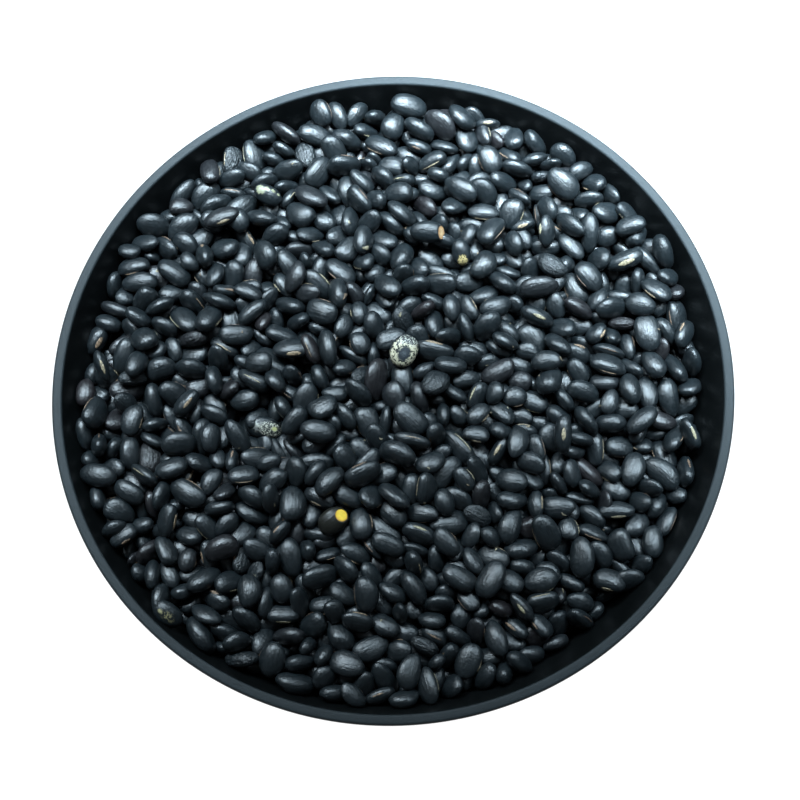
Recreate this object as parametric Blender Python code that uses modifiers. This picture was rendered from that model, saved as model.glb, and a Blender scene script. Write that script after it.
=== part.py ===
"""A round black bowl heaped with dried black beans.

Metres, +Z up. The origin is the middle of the foot's resting plane. The heap is a low dome whose top
stands just over the rim, and it has slumped towards +X and -Y.
"""

import math
import random

import bmesh
import bpy
from mathutils import Matrix, Vector

# The bowl
RIM_RADIUS = 0.100
HEIGHT = 0.046
WALL = 0.0030
WALL_DRAFT = math.radians(25)
RIM_ROUNDING = 0.0008
BASE_CURVE = 0.030
FOOT_HEIGHT = 0.0020
FOOT_RADIUS = 0.0580
FOOT_WIDTH = 0.0035
FOOT_TAPER = 0.0006
BOWL_SIDES = 48
RIM_STEPS = 3
BASE_STEPS = 5

# The heap, measured to the tops of the beans
CROWN_OVER_RIM = 0.0035
FALL_TO_WALL = 0.0085
SLUMP_DEPTH = 0.0115
SLUMP_DIRECTION = math.radians(-35)
CORE_UNDER_TOPS = 0.0030
BOWL_GAP = 0.0003
CORE_SIDES = 24
CORE_RINGS = (0.4, 0.75, 1.0)

# One bean, and how the visible ones lie
BEAN_LENGTH = 0.0096
BEAN_WIDTH = 0.0063
BEAN_THICKNESS = 0.0044
BEAN_SIDES = 5
BEAN_RINGS = 3
BEAN_COUNT = 285
SIZE_SPREAD = 0.12
TILT_SPREAD = math.radians(14)
HEIGHT_SPREAD = 0.0005
STEP_ASIDE = 0.0016
FACET_GROWTH = 1.12
GOLDEN_ANGLE = math.pi * (3 - math.sqrt(5))
SEED = 20

COLOURS = {
    "bowl": ((0.018, 0.020, 0.022), 0.42),
    "beans": ((0.012, 0.013, 0.016), 0.34),
}


def arc(centre, radius, start, end, steps):
    """Points of an arc in the r, z half plane, from one angle in degrees to another."""
    angles = [math.radians(start + (end - start) * i / steps) for i in range(steps + 1)]
    return [(centre[0] + radius * math.cos(a), centre[1] + radius * math.sin(a)) for a in angles]


def outer_wall_radius(z):
    """Radius of the straight outer wall at height z."""
    tangent = RIM_ROUNDING * math.cos(WALL_DRAFT), RIM_ROUNDING * math.sin(WALL_DRAFT)
    r = RIM_RADIUS - RIM_ROUNDING + tangent[0]
    return r - (HEIGHT - RIM_ROUNDING - tangent[1] - z) * math.tan(WALL_DRAFT)


def base_curve_centre():
    """Centre of the curve, shared by both faces of the wall, that turns the wall into the base."""
    z = FOOT_HEIGHT + BASE_CURVE
    tangent_z = z - BASE_CURVE * math.sin(WALL_DRAFT)
    return outer_wall_radius(tangent_z) - BASE_CURVE * math.cos(WALL_DRAFT), z


def inner_wall_radius(z):
    """Radius of the bowl's inside at height z."""
    centre, inner_curve = base_curve_centre(), BASE_CURVE - WALL
    if z < centre[1] - inner_curve * math.sin(WALL_DRAFT):
        below = min(centre[1] - z, inner_curve)
        return centre[0] + math.sqrt(inner_curve**2 - below**2)
    return outer_wall_radius(z) - WALL / math.cos(WALL_DRAFT)


def bowl_profile():
    """From the middle of the inner floor, up the inside, over the rim, down the outside and under the foot."""
    draft = math.degrees(WALL_DRAFT)
    base = base_curve_centre()
    rim_z = HEIGHT - RIM_ROUNDING
    outer_rim = RIM_RADIUS - RIM_ROUNDING
    inner_rim = outer_rim - (WALL - 2 * RIM_ROUNDING) / math.cos(WALL_DRAFT)
    foot_inner = FOOT_RADIUS - FOOT_WIDTH
    return [
        (0, FOOT_HEIGHT + WALL),
        *arc(base, BASE_CURVE - WALL, -90, -draft, BASE_STEPS),
        *arc((inner_rim, rim_z), RIM_ROUNDING, 180 - draft, 90, RIM_STEPS),
        *arc((outer_rim, rim_z), RIM_ROUNDING, 90, -draft, RIM_STEPS),
        *arc(base, BASE_CURVE, -draft, -90, BASE_STEPS),
        (FOOT_RADIUS + FOOT_TAPER, FOOT_HEIGHT),
        (FOOT_RADIUS, 0),
        (foot_inner, 0),
        (foot_inner - FOOT_TAPER, FOOT_HEIGHT),
        (0, FOOT_HEIGHT),
    ]


def turned(name, profile, sides, collection):
    """A solid turned about Z from a profile of (r, z) points."""
    mesh = bpy.data.meshes.new(name)
    edges = [(i, i + 1) for i in range(len(profile) - 1)]
    mesh.from_pydata([(r, 0, z) for r, z in profile], edges, [])
    obj = bpy.data.objects.new(name, mesh)
    collection.objects.link(obj)
    screw = obj.modifiers.new("turn", "SCREW")
    screw.steps = screw.render_steps = sides
    screw.use_merge_vertices = True
    screw.merge_threshold = 1e-5
    return obj


def apply_modifiers(obj):
    """Gives the object its evaluated mesh, with no modifier left."""
    graph = bpy.context.evaluated_depsgraph_get()
    mesh = bpy.data.meshes.new_from_object(obj.evaluated_get(graph))
    obj.modifiers.clear()
    obj.data = mesh


def heap_height(x, y):
    """Height of the bean tops: a low dome that slumps on one side."""
    across = math.hypot(x, y) / RIM_RADIUS
    towards = (x * math.cos(SLUMP_DIRECTION) + y * math.sin(SLUMP_DIRECTION)) / RIM_RADIUS
    dome = HEIGHT + CROWN_OVER_RIM - FALL_TO_WALL * across**2
    return dome - SLUMP_DEPTH * max(towards, 0) ** 2


def heap_edge(angle):
    """Radius at which the core's top meets the gap beside the wall."""
    r = RIM_RADIUS - WALL
    for _ in range(4):
        top = heap_height(r * math.cos(angle), r * math.sin(angle)) - CORE_UNDER_TOPS
        r = inner_wall_radius(top) - BOWL_GAP
    return r


def heap_core(collection):
    """The plain inside of the heap, which fills the bowl up to just under the bean tops."""
    base = base_curve_centre()
    floor = FOOT_HEIGHT + WALL + BOWL_GAP
    inner_curve = BASE_CURVE - WALL - BOWL_GAP
    draft = math.degrees(WALL_DRAFT)
    flat_top = [(RIM_RADIUS * q, HEIGHT) for q in (0, *CORE_RINGS)]
    side = arc(base, inner_curve, -draft, -90, BASE_STEPS // 2)
    core = turned("beans", [*flat_top, *side, (0, floor)], CORE_SIDES, collection)
    apply_modifiers(core)
    for vertex in core.data.vertices:
        if vertex.co.z < HEIGHT - 1e-6:
            continue
        angle = math.atan2(vertex.co.y, vertex.co.x)
        r = vertex.co.xy.length / RIM_RADIUS * heap_edge(angle)
        vertex.co.xy = r * math.cos(angle), r * math.sin(angle)
        vertex.co.z = heap_height(*vertex.co.xy) - CORE_UNDER_TOPS
    return core


def bean_mesh():
    """One bean of few sides, its length along X and its thickness along Z."""
    mesh = bpy.data.meshes.new("bean")
    bm = bmesh.new()
    bmesh.ops.create_uvsphere(bm, u_segments=BEAN_SIDES, v_segments=BEAN_RINGS, radius=0.5)
    bmesh.ops.rotate(bm, matrix=Matrix.Rotation(math.pi / 2, 3, "Y"), verts=bm.verts)
    size = [side * FACET_GROWTH for side in (BEAN_LENGTH, BEAN_WIDTH, BEAN_THICKNESS)]
    bmesh.ops.scale(bm, vec=size, verts=bm.verts)
    bm.to_mesh(mesh)
    bm.free()
    return mesh


def resting_matrix(x, y, rng):
    """How a bean lies on the heap: flat to the slope, give or take, and turned any way."""
    step = 1e-4
    slope_x = (heap_height(x + step, y) - heap_height(x - step, y)) / (2 * step)
    slope_y = (heap_height(x, y + step) - heap_height(x, y - step)) / (2 * step)
    normal = Vector((-slope_x, -slope_y, 1)).normalized()
    lean = Vector((0, 0, 1)).rotation_difference(normal).to_matrix()
    yaw = Matrix.Rotation(rng.uniform(0, math.tau), 3, "Z")
    pitch = Matrix.Rotation(rng.gauss(0, TILT_SPREAD), 3, "Y")
    roll = Matrix.Rotation(rng.gauss(0, TILT_SPREAD), 3, "X")
    scale = Matrix.Diagonal([1 + rng.uniform(-SIZE_SPREAD, SIZE_SPREAD) for _ in range(3)])
    depth = BEAN_THICKNESS / 2 + rng.uniform(-HEIGHT_SPREAD, HEIGHT_SPREAD)
    place = Vector((x, y, heap_height(x, y))) - normal * depth
    return Matrix.Translation(place) @ (lean @ yaw @ pitch @ roll @ scale).to_4x4()


def clears_bowl(mesh, matrix):
    """True if no corner of the bean comes nearer to the wall than the gap."""
    corners = [matrix @ vertex.co for vertex in mesh.vertices]
    return all(c.xy.length < inner_wall_radius(c.z) - BOWL_GAP for c in corners)


def beans_on_top(collection):
    """Beans spread evenly over the heap on a sunflower spiral. One that would cross the wall is moved in."""
    rng = random.Random(SEED)
    mesh = bean_mesh()
    reach = RIM_RADIUS - WALL
    for i in range(BEAN_COUNT):
        angle = i * GOLDEN_ANGLE
        r = reach * math.sqrt((i + 0.5) / BEAN_COUNT)
        x = r * math.cos(angle) + rng.uniform(-STEP_ASIDE, STEP_ASIDE)
        y = r * math.sin(angle) + rng.uniform(-STEP_ASIDE, STEP_ASIDE)
        matrix = resting_matrix(x, y, rng)
        inwards = Vector((-math.cos(angle), -math.sin(angle), 0)) * BOWL_GAP
        while not clears_bowl(mesh, matrix):
            matrix = Matrix.Translation(inwards) @ matrix
        bean = bpy.data.objects.new(f"bean_{i:03d}", mesh)
        bean.matrix_world = matrix
        collection.objects.link(bean)


def fuse(core, collection):
    """Joins every bean of the collection to the core, and removes the loose ones."""
    union = core.modifiers.new("fuse", "BOOLEAN")
    union.operation = "UNION"
    union.operand_type = "COLLECTION"
    union.collection = collection
    union.solver = "MANIFOLD"
    apply_modifiers(core)
    for obj in list(collection.objects):
        bpy.data.objects.remove(obj)
    bpy.data.collections.remove(collection)


def finish(obj):
    """Gives the object a plain material of its own colour and roughness."""
    colour, roughness = COLOURS[obj.name]
    material = bpy.data.materials.new(obj.name)
    material.use_nodes = True
    shader = material.node_tree.nodes["Principled BSDF"]
    shader.inputs["Base Color"].default_value = (*colour, 1)
    shader.inputs["Roughness"].default_value = roughness
    shader.inputs["Metallic"].default_value = 0
    obj.data.materials.clear()
    obj.data.materials.append(material)


def main():
    for obj in list(bpy.data.objects):
        bpy.data.objects.remove(obj)
    parts = bpy.data.collections.new("bowl_of_beans")
    loose = bpy.data.collections.new("loose_beans")
    bpy.context.scene.collection.children.link(parts)
    bpy.context.scene.collection.children.link(loose)

    bowl = turned("bowl", bowl_profile(), BOWL_SIDES, parts)
    apply_modifiers(bowl)
    bowl.data.shade_smooth()
    bowl.data.set_sharp_from_angle(angle=math.radians(35))
    finish(bowl)

    beans = heap_core(parts)
    beans_on_top(loose)
    fuse(beans, loose)
    finish(beans)


main()
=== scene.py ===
"""The looks of a round black bowl heaped with dried black beans.

The beans are dropped into the bowl in a rigid-body simulation, and every one that shows is its own shape.
Metres, +Z up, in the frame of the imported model.
"""

import math
from types import SimpleNamespace

import bpy
import numpy as np
from mathutils import Matrix, Quaternion, Vector
from mathutils.bvhtree import BVHTree


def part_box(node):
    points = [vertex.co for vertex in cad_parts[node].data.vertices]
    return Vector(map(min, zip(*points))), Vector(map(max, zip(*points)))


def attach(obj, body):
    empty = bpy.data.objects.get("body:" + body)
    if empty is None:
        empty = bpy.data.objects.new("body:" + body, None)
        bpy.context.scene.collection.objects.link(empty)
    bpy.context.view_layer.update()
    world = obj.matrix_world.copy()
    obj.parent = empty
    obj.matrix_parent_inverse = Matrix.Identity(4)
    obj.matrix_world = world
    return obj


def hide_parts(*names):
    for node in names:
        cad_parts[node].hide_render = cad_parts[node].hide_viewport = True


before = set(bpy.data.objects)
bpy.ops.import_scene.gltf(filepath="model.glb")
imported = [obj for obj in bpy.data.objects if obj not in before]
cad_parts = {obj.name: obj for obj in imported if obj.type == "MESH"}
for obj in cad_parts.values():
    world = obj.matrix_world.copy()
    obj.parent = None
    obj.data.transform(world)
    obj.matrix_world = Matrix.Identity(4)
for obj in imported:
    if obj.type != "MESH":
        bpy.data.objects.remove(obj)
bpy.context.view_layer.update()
BOWL_LOW, BOWL_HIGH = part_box("bowl")

# The bowl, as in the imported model
RIM_RADIUS = (BOWL_HIGH.x - BOWL_LOW.x) / 2
HEIGHT = BOWL_HIGH.z
WALL = 0.0030
WALL_DRAFT = math.radians(25)
RIM_ROUNDING = 0.0008
# How far below the rim's top its painted sheen fades out
RIM_SHEEN_FADE = 0.0007
BASE_CURVE = 0.030
FOOT_HEIGHT = 0.0020
FOOT_RADIUS = 0.0580
FOOT_WIDTH = 0.0035
FOOT_TAPER = 0.0006
FOOT_ROUNDING = 0.0006
BOWL_SIDES = 256

# The heap, measured to the tops of the beans
CROWN_OVER_RIM = 0.0035
FALL_TO_WALL = 0.0085
SLUMP_DEPTH = 0.0115
SLUMP_DIRECTION = math.radians(-35)
CORE_DEPTH = 0.0130
CORE_BUMPS = 0.0007
BOWL_GAP = 0.0003

# The beans
BEAN_LENGTH = 0.0096
BEAN_WIDTH = 0.0064
BEAN_THICKNESS = 0.0044
SEED = 11

# Segments and rings of each kind of mesh, and the most triangles in a piece of plain beans
ODD_GRID = (96, 64)
WRINKLED_GRID = (80, 28)
FINE_GRID = (20, 14)
COARSE_GRID = (12, 8)
SIM_GRID = (8, 5)
SIGHT_GRID = (16, 11)
EYE_GRID = (10, 10)
FLAKE_GRID = (12, 8)
PIECE_TRIANGLES = 190000

# How far apart two beans in a row lie in the noise of their materials
NOISE_SHIFT = 0.037

# The drop, in hundredths of a metre so that the solver has lengths near one to work on
SIM_SCALE = 100.0
SIM_GRAVITY = -500
SIM_FRAMES = 22
SIM_STEPS = 10
SIM_WALL_HEIGHTS = (0.009, 0.014, 0.020, HEIGHT, 0.09)
LAYERS = 4
LAYER_STEP = 0.0085
FIRST_LAYER_LIFT = 0.006
PITCH = 0.0083
PITCH_JITTER = 0.0006
EDGE_ROOM = 0.0045
TOP_LAYER_SHARE = 0.30

# A bean shows if more rays than this meet it, from above at this spacing or at every third pixel
RAYS_FROM_ABOVE = 6
RAY_SPACING = 0.0009
RAYS_IN_PICTURE = 2
PIXEL_STEP = 3
RAY_STEP = 0.00002

# In looking for a bean near a pixel, a bean that hardly shows counts as this many pixels further off
HIDDEN_PIXELS = 12

# The camera, fitted to the outline of the rim in the photograph
CAMERA_ELEVATION = math.radians(72.0)
CAMERA_DISTANCE = 0.60
CAMERA_ROLL = math.radians(-6.24)
CAMERA_AIM = Vector((0.0020, -0.00519, HEIGHT))
CAMERA_LENS = 92.48
SENSOR = 36.0
PICTURE_SIDE = 800
FOCAL = CAMERA_LENS / SENSOR * PICTURE_SIDE

# The odd beans in the photograph: pixel, how the marked end rises to the right in degrees, and size
ODD_BEANS = {
    "pale_ring_bean": ((404, 351), 60, (0.0098, 0.0081, 0.0054)),
    "grey_mottled_bean": ((264, 428), -14, (0.0112, 0.0066, 0.0050)),
    "yellow_cut_bean": ((333, 521), 35, (0.0094, 0.0074, 0.0058)),
    "cream_patch_bean": ((268, 195), 150, (0.0092, 0.0058, 0.0046)),
    "orange_tip_bean": ((428, 232), -2, (0.0108, 0.0066, 0.0052)),
    "yellow_speckled_bean": ((461, 252), -80, (0.0082, 0.0056, 0.0048)),
    "olive_streak_bean": ((168, 614), 142, (0.0098, 0.0064, 0.0048)),
}
ODD_LIFT = 0.0015
ODD_ROOM = 0.0032

# Beans on edge whose eye shows in the photograph: the eye's pixel, how the bean rises to the right in
# degrees, and how far it is rolled, so that the eye moves to the left of its rise
EYED_BEANS = (
    ((487, 122), 5, 20), ((539, 231), 90, 45), ((523, 227), 20, -10), ((627, 264), 22, -20),
    ((563, 434), 88, 0), ((497, 450), 58, 10), ((617, 518), 2, -50), ((523, 606), -50, 10),
    ((693, 433), -70, 15), ((607, 590), -15, -50), ((475, 442), -5, -50), ((293, 356), 3, -35),
    ((283, 622), 0, -45), ((202, 557), 100, 55), ((175, 522), 78, -50), ((128, 542), 35, -50),
    ((104, 366), -70, 10), ((101, 344), 60, -30), ((224, 224), 20, -40), ((251, 238), -60, 35),
    ((578, 344), -20, 60),
)
EYED_LIFT = 0.0007
EYED_ROOM = 0.0026

# A laid bean stays in sight round its marked side, as far as this cosine
ODD_SIGHT = 0.35
EYED_SIGHT = 0.8

# A bean that would cross or hide a laid one sinks this far, and moves in by this factor, off the wall
SINK = 0.0050
SINK_INWARD = 0.975

# Pixels of the photograph where a wrinkled bean shows, and how many wrinkled beans there are besides
WRINKLED_BEANS = ((361, 378), (436, 384), (325, 595), (150, 452), (465, 520))
MORE_WRINKLED = 22
WRINKLE_DEPTH = (0.006, 0.016)

# The share of beans with an eye, and the share of those eyes that is thin
EYE_SHARE = 0.55
THIN_SHARE = 0.6

# Pixels of the photograph where a flake of skin shows, how many flakes there are in all, how many
# pixels from the middle they reach, their half size in metres, and their curl
FLAKES = ((345, 296), (366, 248), (496, 549), (297, 343))
FLAKE_COUNT = 36
FLAKE_REACH = 290
FLAKE_HALF = (0.0011, 0.0006, 0.00012)
FLAKE_CURL = 90


# Placing by the photograph

def camera_frame():
    """The camera's place and its right, up and backward directions."""
    back = Vector((0, -math.cos(CAMERA_ELEVATION), math.sin(CAMERA_ELEVATION)))
    right = Vector((0, 0, 1)).cross(back).normalized()
    roll = Quaternion(back, CAMERA_ROLL)
    right = roll @ right
    return CAMERA_AIM + back * CAMERA_DISTANCE, right, back.cross(right), back


def pixels(points):
    """Where points, an array of rows of three, fall in the picture."""
    place, right, up, back = (np.array(v) for v in camera_frame())
    offset = points - place
    depth = -(offset @ back)
    half = PICTURE_SIDE / 2
    return half + FOCAL * (offset @ right) / depth, half - FOCAL * (offset @ up) / depth


def line_of_sight(x, y):
    """Where the camera is, and the direction in which it sees this pixel."""
    place, right, up, back = camera_frame()
    half = PICTURE_SIDE / 2
    return place, (right * (x - half) / FOCAL + up * (half - y) / FOCAL - back).normalized()


def add_camera():
    place, right, up, back = camera_frame()
    camera = bpy.data.objects.new("camera", bpy.data.cameras.new("camera"))
    camera.matrix_world = Matrix.Translation(place) @ Matrix((right, up, back)).transposed().to_4x4()
    camera.data.lens = CAMERA_LENS
    camera.data.sensor_width = SENSOR
    camera.data.clip_start = 0.01
    bpy.context.scene.collection.objects.link(camera)
    bpy.context.scene.camera = camera


# Light and floor

def area_light(name, place, target, size, power, colour, beam=180):
    """A soft light, seen only by what it lights. The beam is its full angle in degrees."""
    light = bpy.data.lights.new(name, "AREA")
    light.spread = math.radians(beam)
    light.shape = "RECTANGLE"
    light.size, light.size_y = size
    light.energy = power
    light.color = colour
    obj = bpy.data.objects.new(name, light)
    place = Vector(place)
    obj.location = place
    obj.rotation_euler = (Vector(target) - place).to_track_quat("-Z", "Y").to_euler()
    obj.visible_camera = False
    bpy.context.scene.collection.objects.link(obj)


def add_light():
    """A cool window at the far right, aimed past the bowl to fade towards the front, and weaker lights."""
    cool, window_at, size = (0.68, 0.87, 1.0), (0.175, 0.46, 0.54), (0.62, 0.46)
    area_light("window", window_at, (0.12, 0.36, HEIGHT), size, 25, cool, beam=32)
    area_light("window_haze", window_at, (0.074, 0.246, HEIGHT), size, 1.6, cool, beam=47)
    area_light("second_window", (-0.20, 0.46, 0.54), (-0.11, 0.29, HEIGHT), size, 4.0, cool, beam=47)
    area_light("side", (0.50, 0.10, 0.50), (0.28, 0.02, HEIGHT), (0.3, 0.3), 1.2, cool, beam=30)
    area_light("lamp", (-0.30, 0.42, 0.70), (0, 0, HEIGHT), (0.15, 0.15), 4.0, (0.80, 0.92, 1.0))
    world = bpy.data.worlds.new("room")
    world.use_nodes = True
    background = world.node_tree.nodes["Background"]
    background.inputs["Color"].default_value = (0.85, 0.94, 1.0, 1)
    background.inputs["Strength"].default_value = 0.07
    bpy.context.scene.world = world
    bpy.context.scene.view_settings.view_transform = "Standard"


def add_floor():
    mesh = bpy.data.meshes.new("floor")
    reach = 3.0
    corners = [(-reach, -reach, 0), (reach, -reach, 0), (reach, reach, 0), (-reach, reach, 0)]
    mesh.from_pydata(corners, [], [(0, 1, 2, 3)])
    floor = bpy.data.objects.new("floor", mesh)
    bpy.context.scene.collection.objects.link(floor)
    nodes, links, shader = new_material("floor_paper", floor)
    grain = nodes.new("ShaderNodeTexNoise")
    grain.inputs["Scale"].default_value = 300
    tint = nodes.new("ShaderNodeMixRGB")
    tint.inputs["Color1"].default_value = (0.90, 0.90, 0.90, 1)
    tint.inputs["Color2"].default_value = (0.93, 0.93, 0.93, 1)
    links.new(grain.outputs["Fac"], tint.inputs["Fac"])
    links.new(tint.outputs["Color"], shader.inputs["Emission Color"])
    shader.inputs["Base Color"].default_value = (0.05, 0.05, 0.05, 1)
    shader.inputs["Emission Strength"].default_value = 1.12
    shader.inputs["Roughness"].default_value = 0.8


# Materials

def new_material(name, *objects):
    """A new material on these objects: its nodes, links and main shader."""
    material = bpy.data.materials.new(name)
    material.use_nodes = True
    for obj in objects:
        obj.data.materials.clear()
        obj.data.materials.append(material)
    tree = material.node_tree
    return tree.nodes, tree.links, tree.nodes["Principled BSDF"]


def noise(nodes, links, vector, scale, detail=2.0, roughness=0.5):
    node = nodes.new("ShaderNodeTexNoise")
    node.inputs["Scale"].default_value = scale
    node.inputs["Detail"].default_value = detail
    node.inputs["Roughness"].default_value = roughness
    links.new(vector, node.inputs["Vector"])
    return node.outputs["Fac"]


def spread(nodes, links, value, low, high, to_low, to_high):
    """Maps a value from low..high to to_low..to_high, and clamps it."""
    node = nodes.new("ShaderNodeMapRange")
    node.inputs["From Min"].default_value = low
    node.inputs["From Max"].default_value = high
    node.inputs["To Min"].default_value = to_low
    node.inputs["To Max"].default_value = to_high
    links.new(value, node.inputs["Value"])
    return node.outputs["Result"]


def blend(nodes, links, amount, first, second):
    """A colour between two, each a colour or a socket."""
    node = nodes.new("ShaderNodeMixRGB")
    links.new(amount, node.inputs["Fac"])
    for socket, colour in (("Color1", first), ("Color2", second)):
        if isinstance(colour, tuple):
            node.inputs[socket].default_value = (*colour, 1)
        else:
            links.new(colour, node.inputs[socket])
    return node.outputs["Color"]


def combine(nodes, links, operation, first, second):
    """Two values added, multiplied and so on. The second may be a number."""
    node = nodes.new("ShaderNodeMath")
    node.operation = operation
    links.new(first, node.inputs[0])
    if isinstance(second, (int, float)):
        node.inputs[1].default_value = second
    else:
        links.new(second, node.inputs[1])
    return node.outputs["Value"]


def bump(nodes, links, shader, height, distance):
    """Raises the shader's surface by the height times this distance."""
    node = nodes.new("ShaderNodeBump")
    node.inputs["Distance"].default_value = distance
    node.inputs["Strength"].default_value = 1.0
    links.new(height, node.inputs["Height"])
    links.new(node.outputs["Normal"], shader.inputs["Normal"])


def attribute(nodes, name, output="Vector"):
    node = nodes.new("ShaderNodeAttribute")
    node.attribute_name = name
    return node.outputs[output]


def bowl_material(bowl):
    """Black moulded plastic with a fine grain, its rim's top painted a bluish grey as a painted sheen."""
    nodes, links, shader = new_material("satin_black", bowl)
    place = nodes.new("ShaderNodeTexCoord").outputs["Object"]
    parts = nodes.new("ShaderNodeSeparateXYZ")
    links.new(place, parts.inputs["Vector"])
    rim = spread(nodes, links, parts.outputs["Z"], HEIGHT - RIM_SHEEN_FADE, HEIGHT - 0.0001, 0, 1)
    cloud = noise(nodes, links, place, 45, 4)
    wall = blend(nodes, links, cloud, (0.0013, 0.0017, 0.0018), (0.0026, 0.0031, 0.0033))
    # The rim's top is painted a lighter bluish grey, a painted sheen where it catches the light
    painted_rim_sheen = blend(nodes, links, cloud, (0.0110, 0.0142, 0.0160), (0.0165, 0.0212, 0.0235))
    links.new(blend(nodes, links, rim, wall, painted_rim_sheen), shader.inputs["Base Color"])
    links.new(spread(nodes, links, rim, 0, 1, 0.36, 0.60), shader.inputs["Roughness"])
    shader.inputs["Specular IOR Level"].default_value = 0.18
    bump(nodes, links, shader, noise(nodes, links, place, 2600, 2), 0.00004)


def seed_coat(nodes, links, shader, place, relief_depth):
    """Near black with a cool bloom, brushed along the bean, different on every bean. Returns its colour."""
    tone = attribute(nodes, "bean_tone", "Fac")
    brushed = nodes.new("ShaderNodeVectorMath")
    brushed.operation = "MULTIPLY"
    brushed.inputs[1].default_value = (0.14, 1, 1)
    links.new(place, brushed.inputs[0])
    cloud = noise(nodes, links, place, 300, 3)
    streaks = noise(nodes, links, brushed.outputs["Vector"], 1500, 3, 0.6)
    dapples = noise(nodes, links, place, 1300, 3, 0.6)
    cool = blend(nodes, links, cloud, (0.0024, 0.0035, 0.0041), (0.0098, 0.0136, 0.0157))
    warm = blend(nodes, links, cloud, (0.0052, 0.0038, 0.0040), (0.0130, 0.0098, 0.0108))
    colour = blend(nodes, links, spread(nodes, links, tone, 0.90, 1.0, 0, 0.8), cool, warm)
    links.new(spread(nodes, links, dapples, 0.35, 0.65, 0.28, 0.44), shader.inputs["Roughness"])
    relief = combine(nodes, links, "ADD", combine(nodes, links, "MULTIPLY", streaks, 1.6), dapples)
    bump(nodes, links, shader, relief, relief_depth)
    return colour


def bean_material(name, *beans, relief_depth=0.00011, gloss=0.5):
    nodes, links, shader = new_material(name, *beans)
    colour = seed_coat(nodes, links, shader, attribute(nodes, "bean_place"), relief_depth)
    links.new(colour, shader.inputs["Base Color"])
    shader.inputs["Specular IOR Level"].default_value = gloss


def spot(tint, centre, reach, fray=0.3, bare=0.0, grit=2300, soft=0.04):
    """A spot round a point of the unit sphere. A share of it is left bare, in specks of this grit."""
    return SimpleNamespace(tint=tint, centre=centre, reach=reach, fray=fray, bare=bare, grit=grit, soft=soft)


def spot_mask(nodes, links, place, unit, torn, one):
    """One inside the spot and nought outside it and in its bare specks."""
    apart = nodes.new("ShaderNodeVectorMath")
    apart.operation = "DISTANCE"
    apart.inputs[1].default_value = one.centre
    links.new(unit, apart.inputs[0])
    edge = combine(nodes, links, "MULTIPLY", torn, one.fray)
    away = combine(nodes, links, "ADD", apart.outputs["Value"], edge)
    middle = one.reach + one.fray / 2
    mask = spread(nodes, links, away, middle - one.soft, middle + one.soft, 1, 0)
    if not one.bare:
        return mask
    specks = noise(nodes, links, place, one.grit, 2, 0.6)
    start = 0.28 + 0.4 * one.bare
    return combine(nodes, links, "MULTIPLY", mask, spread(nodes, links, specks, start, start + 0.08, 0, 1))


def spotted_material(name, bean, spots, ground=None, tear=1500):
    """A seed coat with spots, of which a later one covers. Their edges are torn by a grain of this scale."""
    nodes, links, shader = new_material(name, bean)
    place = attribute(nodes, "bean_place")
    colour = seed_coat(nodes, links, shader, place, 0.00011)
    if ground:
        cloud = noise(nodes, links, place, 400, 2)
        colour = blend(nodes, links, cloud, ground, tuple(c * 1.5 for c in ground))
    unit = attribute(nodes, "bean_unit")
    torn = noise(nodes, links, place, tear, 3, 0.65)
    tint_mottling = noise(nodes, links, place, 1100, 2)
    for one in spots:
        mottled_tint = blend(nodes, links, tint_mottling, one.tint, tuple(c * 0.6 for c in one.tint))
        colour = blend(nodes, links, spot_mask(nodes, links, place, unit, torn, one), colour, mottled_tint)
    links.new(colour, shader.inputs["Base Color"])
    shader.inputs["Specular IOR Level"].default_value = 0.35


def eye_material(eyes):
    """The eye is dry and matt, cream to brown from bean to bean."""
    nodes, links, shader = new_material("bean_eye", eyes)
    patches = noise(nodes, links, attribute(nodes, "bean_place"), 1500, 3)
    tone = attribute(nodes, "bean_tone", "Fac")
    first, second = spread(nodes, links, tone, 0, 0.5, 0, 1), spread(nodes, links, tone, 0.5, 1, 0, 1)
    light = blend(nodes, links, first, (0.27, 0.24, 0.15), (0.24, 0.155, 0.095))
    pale = blend(nodes, links, second, light, (0.10, 0.060, 0.040))
    dark = blend(nodes, links, tone, (0.07, 0.055, 0.035), (0.020, 0.014, 0.011))
    stained = spread(nodes, links, patches, 0.40, 0.68, 0, 1)
    links.new(blend(nodes, links, stained, pale, dark), shader.inputs["Base Color"])
    shader.inputs["Roughness"].default_value = 0.6
    bump(nodes, links, shader, patches, 0.00015)


def flake_material(flakes):
    nodes, links, shader = new_material("skin_flake", flakes)
    patches = noise(nodes, links, attribute(nodes, "bean_place"), 1800, 2)
    tone = attribute(nodes, "bean_tone", "Fac")
    husk = blend(nodes, links, tone, (0.30, 0.27, 0.18), (0.13, 0.085, 0.055))
    stained = spread(nodes, links, patches, 0.3, 0.8, 0, 1)
    links.new(blend(nodes, links, stained, husk, (0.05, 0.042, 0.032)), shader.inputs["Base Color"])
    shader.inputs["Roughness"].default_value = 0.7
    shader.inputs["Specular IOR Level"].default_value = 0.2
    bump(nodes, links, shader, patches, 0.0001)


def core_material(core):
    nodes, links, shader = new_material("heap_inside", core)
    place = nodes.new("ShaderNodeTexCoord").outputs["Object"]
    patches = noise(nodes, links, place, 160, 2)
    dark = blend(nodes, links, patches, (0.002, 0.002, 0.003), (0.005, 0.006, 0.007))
    links.new(dark, shader.inputs["Base Color"])
    shader.inputs["Roughness"].default_value = 0.8
    shader.inputs["Specular IOR Level"].default_value = 0.1
    bump(nodes, links, shader, patches, 0.0004)


# The bowl

def arc(centre, radius, start, end, steps):
    """Points of an arc in the r, z half plane, from one angle in degrees to another."""
    angles = [math.radians(start + (end - start) * i / steps) for i in range(steps + 1)]
    return [(centre[0] + radius * math.cos(a), centre[1] + radius * math.sin(a)) for a in angles]


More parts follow.
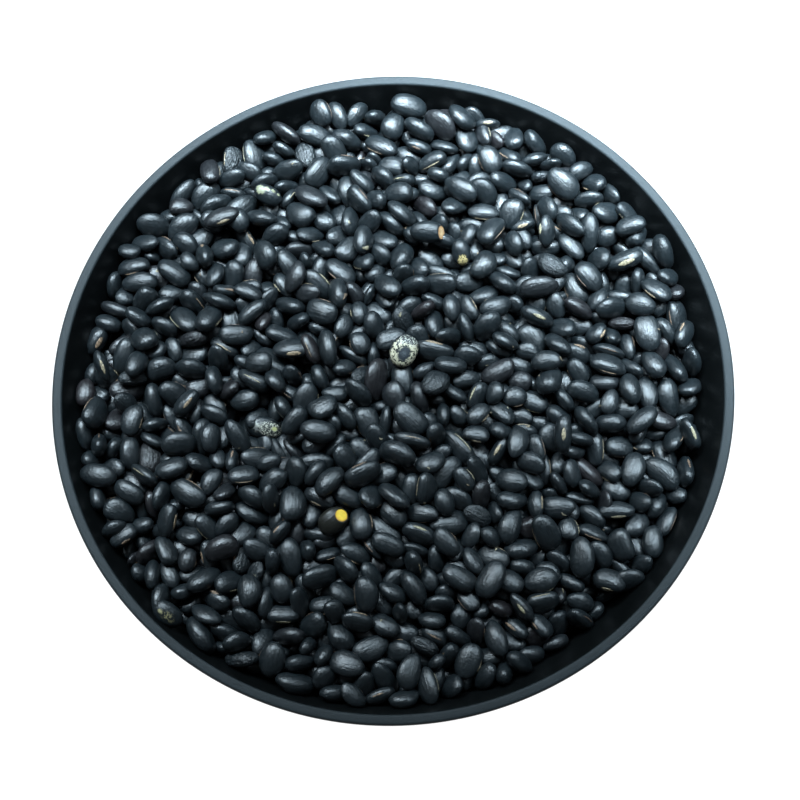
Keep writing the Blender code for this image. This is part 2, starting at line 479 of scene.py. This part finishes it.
def outer_wall_radius(z):
    """Radius of the straight outer wall at height z."""
    tangent = RIM_ROUNDING * math.cos(WALL_DRAFT), RIM_ROUNDING * math.sin(WALL_DRAFT)
    r = RIM_RADIUS - RIM_ROUNDING + tangent[0]
    return r - (HEIGHT - RIM_ROUNDING - tangent[1] - z) * math.tan(WALL_DRAFT)


def base_curve_centre():
    """Centre of the curve, shared by both faces of the wall, that turns the wall into the base."""
    z = FOOT_HEIGHT + BASE_CURVE
    tangent_z = z - BASE_CURVE * math.sin(WALL_DRAFT)
    return outer_wall_radius(tangent_z) - BASE_CURVE * math.cos(WALL_DRAFT), z


def inner_wall_radius(z):
    """Radius of the bowl's inside at height z, carried straight up over the rim."""
    centre, inner_curve = base_curve_centre(), BASE_CURVE - WALL
    if z < centre[1] - inner_curve * math.sin(WALL_DRAFT):
        below = min(centre[1] - z, inner_curve)
        return centre[0] + math.sqrt(inner_curve**2 - below**2)
    return outer_wall_radius(min(z, HEIGHT)) - WALL / math.cos(WALL_DRAFT)


def bowl_profile():
    """From the middle of the inner floor, up the inside, over the rim, down the outside, under the foot."""
    draft = math.degrees(WALL_DRAFT)
    base = base_curve_centre()
    rim_z = HEIGHT - RIM_ROUNDING
    outer_rim = RIM_RADIUS - RIM_ROUNDING
    inner_rim = outer_rim - (WALL - 2 * RIM_ROUNDING) / math.cos(WALL_DRAFT)
    foot_inner = FOOT_RADIUS - FOOT_WIDTH
    return [
        (0, FOOT_HEIGHT + WALL),
        *arc(base, BASE_CURVE - WALL, -90, -draft, 16),
        *arc((inner_rim, rim_z), RIM_ROUNDING, 180 - draft, 90, 6),
        *arc((outer_rim, rim_z), RIM_ROUNDING, 90, -draft, 8),
        *arc(base, BASE_CURVE, -draft, -90, 16),
        (FOOT_RADIUS + FOOT_TAPER, FOOT_HEIGHT),
        *arc((FOOT_RADIUS - FOOT_ROUNDING, FOOT_ROUNDING), FOOT_ROUNDING, 0, -90, 4),
        *arc((foot_inner + FOOT_ROUNDING, FOOT_ROUNDING), FOOT_ROUNDING, -90, -180, 4),
        (foot_inner - FOOT_TAPER, FOOT_HEIGHT),
        (0, FOOT_HEIGHT),
    ]


def turned(name, profile, sides):
    """A solid turned about Z from a profile of (r, z) points."""
    mesh = bpy.data.meshes.new(name)
    edges = [(i, i + 1) for i in range(len(profile) - 1)]
    mesh.from_pydata([(r, 0, z) for r, z in profile], edges, [])
    obj = bpy.data.objects.new(name, mesh)
    bpy.context.scene.collection.objects.link(obj)
    screw = obj.modifiers.new("turn", "SCREW")
    screw.steps = screw.render_steps = sides
    screw.use_merge_vertices = True
    screw.merge_threshold = 1e-5
    graph = bpy.context.evaluated_depsgraph_get()
    solid = bpy.data.meshes.new_from_object(obj.evaluated_get(graph))
    obj.modifiers.clear()
    obj.data = solid
    solid.shade_smooth()
    solid.set_sharp_from_angle(angle=math.radians(40))
    return obj


def add_bowl():
    bowl = turned("black_bowl", bowl_profile(), BOWL_SIDES)
    bowl_material(bowl)
    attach(bowl, "root")
    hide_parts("bowl")


# The heap

def heap_height(x, y):
    """Height of the bean tops: a low dome that slumps on one side. Takes numbers or arrays."""
    across = np.hypot(x, y) / RIM_RADIUS
    towards = (x * math.cos(SLUMP_DIRECTION) + y * math.sin(SLUMP_DIRECTION)) / RIM_RADIUS
    dome = HEIGHT + CROWN_OVER_RIM - FALL_TO_WALL * across**2
    return dome - SLUMP_DEPTH * np.maximum(towards, 0) ** 2


# One bean

def sphere_grid(segments, rings):
    """Unit directions of a sphere whose poles lie on X, and its triangles."""
    points = [(1, 0, 0)]
    for i in range(1, rings):
        polar = math.pi * i / rings
        for j in range(segments):
            turn = math.tau * j / segments
            ring = math.sin(polar)
            points.append((math.cos(polar), ring * math.cos(turn), ring * math.sin(turn)))
    points.append((-1, 0, 0))
    last = len(points) - 1
    faces = []
    for j in range(segments):
        k = (j + 1) % segments
        faces.append((0, 1 + j, 1 + k))
        faces.append((last, last - segments + k, last - segments + j))
        for i in range(rings - 2):
            a, b = 1 + i * segments + j, 1 + i * segments + k
            faces.append((a, a + segments, b + segments))
            faces.append((a, b + segments, b))
    return np.array(points), np.array(faces)


def draw_beans(count, rng):
    """The sizes and quirks of every bean."""
    waves, flats = 4, 3
    flat_turns = rng.normal(0, 1, (count, flats, 3))
    size = rng.normal(1, 0.10, (count, 1)).clip(0.78, 1.22)
    quirks = 1 + rng.normal(0, 1, (count, 3)) * (0.08, 0.05, 0.08)
    return SimpleNamespace(
        half=np.array([BEAN_LENGTH, BEAN_WIDTH, BEAN_THICKNESS]) / 2 * size * quirks.clip(0.82, 1.20),
        blunt=rng.uniform(1.85, 2.45, count),
        bend=rng.uniform(0.0, 0.22, count),
        taper=rng.normal(0, 0.07, count).clip(-0.15, 0.15),
        flat_turns=flat_turns / np.linalg.norm(flat_turns, axis=2, keepdims=True),
        flat_from=rng.uniform(0.84, 1.30, (count, flats)),
        flat_press=np.full((count, flats), 0.7),
        flat_edge=np.full(count, 0.09),
        wave_turns=rng.normal(0, 1.8, (count, waves, 3)),
        wave_start=rng.uniform(0, math.tau, (count, waves)),
        wave_size=rng.uniform(0.004, 0.018, (count, waves)),
        wrinkle=np.zeros(count),
        wrinkle_start=rng.uniform(0, math.tau, count),
        tone=rng.uniform(0, 1, count),
    )


def pick(beans, which):
    """The same description, of some of the beans only."""
    return SimpleNamespace(**{key: value[which] for key, value in vars(beans).items()})


def bean_points(directions, beans):
    """The skin of every bean in its own frame, its length along X: (beans, directions, 3).

    directions are unit vectors, (1, directions, 3) or one set for each bean.
    """
    blunt = beans.blunt[:, None, None]
    unit = directions / (np.abs(directions) ** blunt).sum(2, keepdims=True) ** (1 / blunt)
    for k in range(beans.flat_from.shape[1]):
        turn = beans.flat_turns[:, k, None]
        over = (unit * turn).sum(2, keepdims=True) - beans.flat_from[:, k, None, None]
        pressed = (over + np.hypot(over, beans.flat_edge[:, None, None])) / 2
        unit = unit - turn * pressed * beans.flat_press[:, k, None, None]
    wave = np.einsum("nwc,nmc->nmw", beans.wave_turns, np.broadcast_to(directions, unit.shape))
    relief = 1 + (np.sin(wave + beans.wave_start[:, None]) * beans.wave_size[:, None]).sum(2)
    around = np.arctan2(directions[..., 2], directions[..., 1])
    along = unit[..., 0]
    crease = np.sin(13 * around + 2.5 * np.sin(3 * along + beans.wrinkle_start[:, None]) + 4 * along)
    relief = relief + beans.wrinkle[:, None] * crease * (1 - along**2)
    swell = relief * (1 + beans.taper[:, None] * along)
    x = beans.half[:, None, 0] * along * relief
    y = beans.half[:, None, 1] * (unit[..., 1] * swell - beans.bend[:, None] * (along**2 - 0.4))
    z = beans.half[:, None, 2] * unit[..., 2] * swell
    return np.stack([x, y, z], axis=2)


# Dropping the beans

def starting_places(rng):
    """A loose lattice over the core, layer on layer, each bean turned any way."""
    places = []
    rows = int(RIM_RADIUS / PITCH) + 2
    for layer in range(LAYERS):
        for i in range(-rows, rows + 1):
            for j in range(-rows, rows + 1):
                x = (i + 0.5 * (j % 2) + 0.25 * layer) * PITCH
                y = (j * math.sqrt(0.75) + 0.3 * layer) * PITCH
                x, y = (x, y) + rng.uniform(-PITCH_JITTER, PITCH_JITTER, 2)
                z = heap_height(x, y) - CORE_DEPTH + FIRST_LAYER_LIFT + layer * LAYER_STEP
                if math.hypot(x, y) > inner_wall_radius(z) - EDGE_ROOM:
                    continue
                if layer == LAYERS - 1 and rng.random() > TOP_LAYER_SHARE:
                    continue
                places.append((x, y, z))
    places = np.array(places)
    turns = [Quaternion(q).normalized() for q in rng.normal(0, 1, (len(places), 4))]
    return places, turns


def sim_mesh(name, points, faces, collection):
    mesh = bpy.data.meshes.new(name)
    mesh.from_pydata((points * SIM_SCALE).tolist(), [], faces)
    obj = bpy.data.objects.new(name, mesh)
    collection.objects.link(obj)
    return obj


def sim_wall(collection):
    """The bowl's inner wall, carried on upwards so that no bean leaves."""
    sides = 96
    turn = np.arange(sides) * math.tau / sides
    rings = [(inner_wall_radius(z), z) for z in SIM_WALL_HEIGHTS]
    points = np.array([(r * math.cos(t), r * math.sin(t), z) for r, z in rings for t in turn])
    faces = []
    for k in range(len(rings) - 1):
        for i in range(sides):
            j = (i + 1) % sides
            faces.append((k * sides + i, k * sides + j, (k + 1) * sides + j, (k + 1) * sides + i))
    return sim_mesh("sim_wall", points, faces, collection)


def sim_core(collection, rng):
    """The bumpy ground that the loose beans fall on."""
    side = 56
    steps = np.linspace(-RIM_RADIUS, RIM_RADIUS, side)
    x, y = (a.ravel() for a in np.meshgrid(steps, steps, indexing="ij"))
    z = heap_height(x, y) - CORE_DEPTH + rng.normal(0, CORE_BUMPS, x.size)
    faces = [
        (i * side + j, (i + 1) * side + j, (i + 1) * side + j + 1, i * side + j + 1)
        for i in range(side - 1) for j in range(side - 1)
    ]
    return sim_mesh("sim_core", np.stack([x, y, z], axis=1), faces, collection)


def drop_beans(beans, places, turns, rng):
    """Lets the beans fall and settle. Returns where each one lies, as matrices in metres."""
    scene = bpy.context.scene
    bpy.ops.rigidbody.world_add()
    world = scene.rigidbody_world
    falling = bpy.data.collections.new("falling")
    scene.collection.children.link(falling)
    world.collection = falling
    world.substeps_per_frame = world.solver_iterations = SIM_STEPS
    world.point_cache.frame_end = SIM_FRAMES + 1
    scene.gravity = (0, 0, SIM_GRAVITY)
    directions, faces = sphere_grid(*SIM_GRID)
    skins = bean_points(directions[None], beans)
    loose = []
    for skin, place, turn in zip(skins, places, turns):
        obj = sim_mesh("falling_bean", skin, faces.tolist(), falling)
        obj.matrix_world = Matrix.Translation(Vector(place) * SIM_SCALE) @ turn.to_matrix().to_4x4()
        loose.append(obj)
    fixed = [sim_wall(falling), sim_core(falling, rng)]
    bpy.context.view_layer.update()
    for obj in loose + fixed:
        body = obj.rigid_body
        body.use_margin = True
        body.collision_margin = 0.004
        body.restitution = 0
        body.type = "PASSIVE" if obj in fixed else "ACTIVE"
        body.collision_shape = "MESH" if obj in fixed else "CONVEX_HULL"
        body.friction = 0.8 if obj in fixed else 0.55
        body.linear_damping = 0.2
        body.angular_damping = 0.4
    for number in range(1, SIM_FRAMES + 1):
        scene.frame_set(number)
    rest = [obj.matrix_world.copy() for obj in loose]
    bpy.ops.rigidbody.world_remove()
    for obj in loose + fixed:
        mesh = obj.data
        bpy.data.objects.remove(obj)
        bpy.data.meshes.remove(mesh)
    bpy.data.collections.remove(falling)
    scene.frame_set(1)
    matrices = np.array(rest)
    matrices[:, :3, 3] /= SIM_SCALE
    return matrices


def moved(points, matrices):
    """Each bean's points, (beans, points, 3), put where it lies."""
    return np.einsum("nij,nmj->nmi", matrices[:, :3, :3], points) + matrices[:, None, :3, 3]


# Meshes from arrays

def joined(name, points, faces, local, tone, unit=None):
    """One mesh of many like shapes, with each corner's place on its own bean kept for the material.

    unit, if given, is each corner's direction on the unit sphere.
    """
    count, each = points.shape[:2]
    corners = (faces[None] + np.arange(count)[:, None, None] * each).reshape(-1, 3)
    mesh = bpy.data.meshes.new(name)
    mesh.vertices.add(count * each)
    mesh.vertices.foreach_set("co", points.astype(np.float32).ravel())
    mesh.loops.add(corners.size)
    mesh.loops.foreach_set("vertex_index", corners.astype(np.int32).ravel())
    mesh.polygons.add(len(corners))
    mesh.polygons.foreach_set("loop_start", np.arange(0, corners.size, 3, dtype=np.int32))
    mesh.polygons.foreach_set("use_smooth", np.ones(len(corners), bool))
    shift = (np.arange(count) * NOISE_SHIFT)[:, None, None]
    place = mesh.attributes.new("bean_place", "FLOAT_VECTOR", "POINT")
    place.data.foreach_set("vector", (local + shift).astype(np.float32).ravel())
    tones = mesh.attributes.new("bean_tone", "FLOAT", "POINT")
    tones.data.foreach_set("value", np.repeat(tone, each).astype(np.float32))
    if unit is not None:
        units = mesh.attributes.new("bean_unit", "FLOAT_VECTOR", "POINT")
        units.data.foreach_set("vector", np.broadcast_to(unit, points.shape).astype(np.float32).ravel())
    mesh.update()
    mesh.validate()
    obj = bpy.data.objects.new(name, mesh)
    bpy.context.scene.collection.objects.link(obj)
    return obj


def belongs(piece):
    """Puts a piece on the body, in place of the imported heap."""
    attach(piece, "root")
    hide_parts("beans")
    return piece


def bean_piece(name, heap, which, grid):
    """These beans as one piece of the heap."""
    directions, faces = grid
    chosen = pick(heap.beans, which)
    local = bean_points(directions[None], chosen)
    skins = moved(local, heap.matrices[which])
    return belongs(joined(name, skins, faces, local, chosen.tone, directions[None]))


# Finding beans in the settled heap, and laying some by the photograph

def look_at_heap(beans, matrices):
    """The settled beans with a tree for casting rays at them, and how much of each one shows."""
    directions, faces = sphere_grid(*COARSE_GRID)
    skins = moved(bean_points(directions[None], beans), matrices)
    inside = ((np.hypot(skins[..., 0], skins[..., 1]) < RIM_RADIUS) & (skins[..., 2] > FOOT_HEIGHT)).all(1)
    kept = np.flatnonzero(inside)
    beans, matrices, skins = pick(beans, kept), matrices[kept], skins[kept]
    corners = (faces[None] + np.arange(len(kept))[:, None, None] * len(directions)).reshape(-1, 3)
    tree = BVHTree.FromPolygons(skins.reshape(-1, 3).tolist(), corners.tolist(), all_triangles=True)
    heap = SimpleNamespace(beans=beans, matrices=matrices, tree=tree, faces_each=len(faces))
    above, shown = np.zeros(len(kept), int), np.zeros(len(kept), int)
    down, grid = Vector((0, 0, -1)), np.arange(-RIM_RADIUS, RIM_RADIUS, RAY_SPACING)
    for x in grid:
        for y in grid:
            hit = tree.ray_cast(Vector((x, y, 2 * HEIGHT)), down)
            if hit[2] is not None:
                above[hit[2] // len(faces)] += 1
    for x in range(0, PICTURE_SIDE, PIXEL_STEP):
        for y in range(0, PICTURE_SIDE, PIXEL_STEP):
            hit = tree.ray_cast(*line_of_sight(x, y))
            if hit[2] is not None:
                shown[hit[2] // len(faces)] += 1
    heap.shown = shown
    heap.centre = np.stack(pixels(matrices[:, :3, 3]), axis=1)
    heap.free = (above > RAYS_FROM_ABOVE) | (shown > RAYS_IN_PICTURE)
    heap.deep = ~heap.free
    heap.sunk, heap.laid = np.zeros(len(kept), bool), np.zeros(len(kept), bool)
    return heap


def take_bean(heap, pixel):
    """The bean nearest this pixel that shows well and isn't taken yet."""
    distance = np.hypot(*(heap.centre - pixel).T)
    hidden = HIDDEN_PIXELS * (1 - heap.shown / heap.shown.max())
    bean = int(np.argmin(distance + hidden + np.where(heap.free, 0, np.inf)))
    heap.free[bean] = False
    return bean


def hits_before(heap, points):
    """How often each bean stands between the camera and these points."""
    hits = np.zeros(len(heap.sunk), int)
    place = camera_frame()[0]
    for point in points:
        way = Vector(point) - place
        start, left = place, way.length
        way.normalize()
        while left > 0:
            struck, _, face, distance = heap.tree.ray_cast(start, way, left)
            if face is None:
                break
            hits[face // heap.faces_each] += 1
            start = struck + way * RAY_STEP
            left -= distance + RAY_STEP
    return hits


def lay_bean(heap, bean, middle, axes, seen, cap, room):
    """Lays a bean along these axes and sinks the beans that would cross it, or hide it.

    It stays in sight round one direction on the unit sphere, as far as the cosine cap.
    """
    heap.matrices[bean, :3] = np.stack([*axes, middle], axis=1)
    heap.laid[bean] = True
    directions = sphere_grid(*SIGHT_GRID)[0]
    kept = directions[directions @ np.array(seen) > cap]
    skin = moved(bean_points(kept[None], pick(heap.beans, [bean])), heap.matrices[[bean]])[0]
    apart = np.linalg.norm(heap.matrices[:, :3, 3] - np.array(middle), axis=1)
    away = ((apart < room) | (hits_before(heap, skin) > 0)) & ~heap.laid & ~heap.sunk
    heap.matrices[away, :2, 3] *= SINK_INWARD
    heap.matrices[away, 2, 3] -= SINK
    heap.sunk |= away
    heap.free &= ~away


def lying(heap, bean, pixel, rise, lift):
    """Where a bean lies that is seen at this pixel, and its axes.

    They point along its rise, to the left of that, and to the camera.
    """
    place, way = line_of_sight(*pixel)
    _, right, up, back = camera_frame()
    along = right * math.cos(math.radians(rise)) + up * math.sin(math.radians(rise))
    height = heap.matrices[bean, 2, 3] + lift
    return place + way * (height - place.z) / way.z, along, back.cross(along), back


def lay_odd_bean(heap, pixel, rise, size):
    """Lays the bean nearest this pixel right there, its flat side to the camera."""
    bean = take_bean(heap, pixel)
    middle, along, beside, back = lying(heap, bean, pixel, rise, ODD_LIFT)
    beans = heap.beans
    beans.half[bean] = np.array(size) / 2
    beans.blunt[bean], beans.taper[bean], beans.bend[bean] = 2.15, 0.0, 0.05
    beans.flat_from[bean] = 2.0
    lay_bean(heap, bean, middle, (along, beside, back), (0, 0, 1), ODD_SIGHT, ODD_ROOM)
    return bean


def lay_eyed_bean(heap, pixel, rise, roll):
    """Lays the bean nearest this pixel on edge, with its eye right there."""
    bean = take_bean(heap, pixel)
    middle, along, beside, back = lying(heap, bean, pixel, rise, EYED_LIFT)
    roll = math.radians(roll)
    eye_way = back * math.cos(roll) + beside * math.sin(roll)
    middle -= beside * math.sin(roll) * heap.beans.half[bean, 1]
    axes = (along, -eye_way, eye_way.cross(along))
    lay_bean(heap, bean, middle, axes, (0, -1, 0), EYED_SIGHT, EYED_ROOM)
    return bean


def add_core():
    """The inside of the heap, under the loose beans."""
    side = 120
    turn = np.linspace(0, math.tau, side, endpoint=False)
    rings = np.linspace(0, 1, 24)
    floor = FOOT_HEIGHT + WALL + BOWL_GAP
    base = base_curve_centre()
    inner = BASE_CURVE - WALL - BOWL_GAP
    draft = math.degrees(WALL_DRAFT)
    profile = [(RIM_RADIUS * q, HEIGHT) for q in rings]
    core = turned("heap_inside", [*profile, *arc(base, inner, -draft, -90, 6), (0, floor)], side)
    for vertex in core.data.vertices:
        if vertex.co.z < HEIGHT - 1e-6:
            continue
        angle = math.atan2(vertex.co.y, vertex.co.x)
        share = vertex.co.xy.length / RIM_RADIUS
        edge = RIM_RADIUS - WALL
        for _ in range(4):
            z = float(heap_height(edge * math.cos(angle), edge * math.sin(angle))) - CORE_DEPTH
            edge = inner_wall_radius(z) - BOWL_GAP
        x, y = share * edge * math.cos(angle), share * edge * math.sin(angle)
        ripple = math.sin(900 * x + 3) * math.sin(850 * y + 1) * CORE_BUMPS
        vertex.co = x, y, float(heap_height(x, y)) - CORE_DEPTH - CORE_BUMPS + ripple
    core_material(core)
    belongs(core)


# Odd beans

def cut_end(heap, bean, direction, start):
    """Cuts the bean flat where it reaches beyond start in this direction of its own."""
    heap.beans.flat_turns[bean, 0] = Vector(direction).normalized()
    heap.beans.flat_from[bean, 0] = start
    heap.beans.flat_press[bean, 0] = 0.95
    heap.beans.flat_edge[bean] = 0.015


def add_odd_beans(heap):
    """The few beans that stand out: marked, mottled, chipped or cut."""
    beans = {name: lay_odd_bean(heap, *how) for name, how in ODD_BEANS.items()}
    cut_end(heap, beans["yellow_cut_bean"], (0.74, 0, 0.67), 0.86)
    cut_end(heap, beans["orange_tip_bean"], (0.96, 0, 0.28), 0.76)
    grid = sphere_grid(*ODD_GRID)
    piece = {name: bean_piece(name, heap, np.array([bean]), grid) for name, bean in beans.items()}
    cream, grey, black = (0.50, 0.46, 0.33), (0.42, 0.41, 0.33), (0.006, 0.008, 0.010)
    spotted_material("pale_ring", piece["pale_ring_bean"], [
        spot(cream, (-0.19, -0.13, 0.97), 1.10, fray=1.1, bare=0.36, grit=1300),
        spot(black, (0.90, 0.10, 0.42), 0.66, fray=0.4),
        spot((0.38, 0.38, 0.33), (0.85, 0.10, 0.50), 0.74, fray=0.4, bare=0.60, grit=2600),
        spot((0.028, 0.034, 0.040), (-0.16, -0.13, 0.97), 0.46, fray=0.5, soft=0.08),
        # A painted highlight: a small lighter bluish spot on the slate patch at the bean's top
        spot((0.085, 0.095, 0.105), (-0.16, -0.13, 0.97), 0.14, fray=0.5, bare=0.3, soft=0.10),
    ])
    spotted_material("grey_mottling", piece["grey_mottled_bean"], [
        spot((0.13, 0.13, 0.12), (-0.45, 0.10, 0.87), 0.50, fray=0.9, bare=0.35, grit=900, soft=0.15),
        spot((0.40, 0.40, 0.35), (-0.40, 0.15, 0.90), 0.12, fray=0.8, soft=0.15),
        spot(grey, (0.45, 0.0, 0.89), 0.74, fray=0.5, bare=0.55, grit=2600),
        spot((0.40, 0.40, 0.17), (0.55, 0.12, 0.82), 0.16, fray=0.3),
    ], tear=1300)
    spotted_material("yellow_cut", piece["yellow_cut_bean"], [
        spot((0.62, 0.31, 0.03), (0.74, 0, 0.67), 0.49, fray=0.06),
        spot((0.80, 0.54, 0.055), (0.76, 0.04, 0.65), 0.43, fray=0.10),
    ], ground=(0.0080, 0.0078, 0.0062))
    patch = (0.18, 0.18, 0.115)
    spotted_material("cream_patch", piece["cream_patch_bean"], [
        spot(patch, (0.60, -0.10, 0.79), 0.42, fray=0.6),
        spot(patch, (0.20, -0.50, 0.84), 0.22, fray=0.4),
        spot(patch, (-0.20, -0.62, 0.76), 0.18, fray=0.4),
        spot(patch, (-0.58, -0.52, 0.62), 0.12, fray=0.3),
    ], tear=900)
    spotted_material("orange_tip", piece["orange_tip_bean"], [
        spot((0.40, 0.22, 0.10), (0.96, 0, 0.28), 0.60, fray=0.2),
        spot((0.52, 0.37, 0.20), (0.97, 0, 0.25), 0.36, fray=0.5, bare=0.3, grit=1700, soft=0.12),
    ])
    spotted_material("yellow_speckles", piece["yellow_speckled_bean"], [
        spot((0.46, 0.36, 0.16), (0.75, 0, 0.66), 0.55, fray=0.6, bare=0.36, grit=2300),
    ], tear=1700)
    spotted_material("olive_streak", piece["olive_streak_bean"], [
        spot((0.19, 0.165, 0.085), (-0.1, 0.1, 0.98), 0.45, fray=0.9, bare=0.55, grit=1500, soft=0.15),
        spot((0.44, 0.39, 0.20), (0.45, 0.1, 0.88), 0.14, fray=0.6, bare=0.35, grit=1500, soft=0.10),
    ])


# The eyes, a strip on each bean's narrow side

def eye_directions(turn, shift, length, width):
    """Directions that a small closed lens covers, for each bean, and how far it stands out of the skin."""
    ball, faces = sphere_grid(*EYE_GRID)
    across = ball[None, :, 1] * width[:, None] * (1 - 0.3 * ball[None, :, 0] ** 2)
    x = shift[:, None] + ball[None, :, 0] * length[:, None]
    y = np.cos(turn)[:, None] - np.sin(turn)[:, None] * across
    z = np.sin(turn)[:, None] + np.cos(turn)[:, None] * across
    directions = np.stack([x, y, z], axis=2)
    directions /= np.linalg.norm(directions, axis=2, keepdims=True)
    groove = 0.6 * np.exp(-((ball[:, 1] / 0.22) ** 2)) * (ball[:, 2] > 0)
    return directions, (ball[:, 2] - groove)[None, :, None], faces


def add_eyes(heap, top, eyed, rng):
    """Eyes on about half of the beans, and larger ones on the beans that were laid to show theirs."""
    plain = top[rng.random(len(top)) < EYE_SHARE]
    which = np.concatenate([plain, eyed])
    count, large = len(which), np.arange(len(which)) >= len(plain)
    thin = (rng.random(count) < THIN_SHARE) & ~large
    length = np.where(thin, rng.uniform(0.50, 0.75, count), rng.uniform(0.34, 0.55, count))
    width = np.where(thin, rng.uniform(0.06, 0.10, count), rng.uniform(0.13, 0.22, count))
    width = np.where(large, rng.uniform(0.20, 0.32, count), width)
    turn = math.pi + rng.normal(0, 0.15, count)
    directions, out, faces = eye_directions(turn, rng.normal(0, 0.08, count), length, width)
    local = bean_points(directions, pick(heap.beans, which)) * (1 + 0.03 * out)
    tone = rng.random(count) * np.where(large, 0.6, 1)
    eye_material(belongs(joined("bean_eyes", moved(local, heap.matrices[which]), faces, local, tone)))


def add_flakes(heap, rng):
    """Small curled chips of skin that lie on the beans."""
    places = list(FLAKES)
    while len(places) < FLAKE_COUNT:
        pixel = rng.uniform(0, PICTURE_SIDE, 2)
        if np.hypot(*(pixel - PICTURE_SIDE / 2)) < FLAKE_REACH:
            places.append(tuple(pixel))
    ball, faces = sphere_grid(*FLAKE_GRID)
    around, out = np.arctan2(ball[:, 1], ball[:, 0]), np.hypot(ball[:, 0], ball[:, 1])
    points, tones = [], []
    for number, pixel in enumerate(places):
        place, normal, _, _ = heap.tree.ray_cast(*line_of_sight(*pixel))
        if place is None:
            continue
        size = rng.uniform(0.6, 1.0) if number < len(FLAKES) else rng.uniform(0.3, 0.6)
        half = np.array(FLAKE_HALF) * size * rng.uniform(0.7, 1.3, 3)
        outline = 1 + 0.25 * np.sin(3 * around + rng.uniform(0, 6)) * out
        chip = ball * half * outline[:, None]
        chip[:, 2] -= FLAKE_CURL * chip[:, 0] ** 2
        normal = Vector(normal) if normal.z > 0 else -Vector(normal)
        turned_by = Matrix.Rotation(rng.uniform(0, math.tau), 3, "Z")
        lean = Vector((0, 0, 1)).rotation_difference(normal).to_matrix() @ turned_by
        points.append(chip @ np.array(lean).T + np.array(place + normal * FLAKE_HALF[2]))
        tones.append(rng.random())
    points = np.array(points)
    flake_material(belongs(joined("skin_flakes", points, faces, points, np.array(tones))))


def add_beans():
    """The settled heap: odd, wrinkled, plain and deep beans, their eyes, and flakes of skin."""
    rng = np.random.default_rng(SEED)
    places, turns = starting_places(rng)
    beans = draw_beans(len(places), rng)
    heap = look_at_heap(beans, drop_beans(beans, places, turns, rng))
    add_odd_beans(heap)
    eyed = np.array([lay_eyed_bean(heap, *how) for how in EYED_BEANS])
    top = np.flatnonzero(heap.free)
    deep = np.flatnonzero(heap.deep & ~heap.laid & ~heap.sunk)
    wrinkled = [take_bean(heap, pixel) for pixel in WRINKLED_BEANS]
    wrinkled += list(rng.choice(np.flatnonzero(heap.free), MORE_WRINKLED, replace=False))
    heap.free[wrinkled] = False
    heap.beans.wrinkle[wrinkled] = rng.uniform(*WRINKLE_DEPTH, len(wrinkled))
    piece = bean_piece("wrinkled_beans", heap, np.array(wrinkled), sphere_grid(*WRINKLED_GRID))
    bean_material("wrinkled_seed_coat", piece, relief_depth=0.0003)
    fine, coarse = sphere_grid(*FINE_GRID), sphere_grid(*COARSE_GRID)
    plain = np.union1d(np.flatnonzero(heap.free | heap.sunk), eyed)
    shares = np.array_split(plain, math.ceil(len(plain) * len(fine[1]) / PIECE_TRIANGLES))
    pieces = [bean_piece(f"black_beans_{i}", heap, share, fine) for i, share in enumerate(shares, 1)]
    bean_material("black_seed_coat", *pieces)
    # The deep beans get a less glossy copy of the seed coat: painted shade that darkens the gaps
    bean_material("painted_shade_seed_coat", bean_piece("deep_beans", heap, deep, coarse), gloss=0.2)
    add_eyes(heap, top, eyed, rng)
    add_flakes(heap, rng)


add_camera()
add_light()
add_floor()
add_bowl()
add_core()
add_beans()
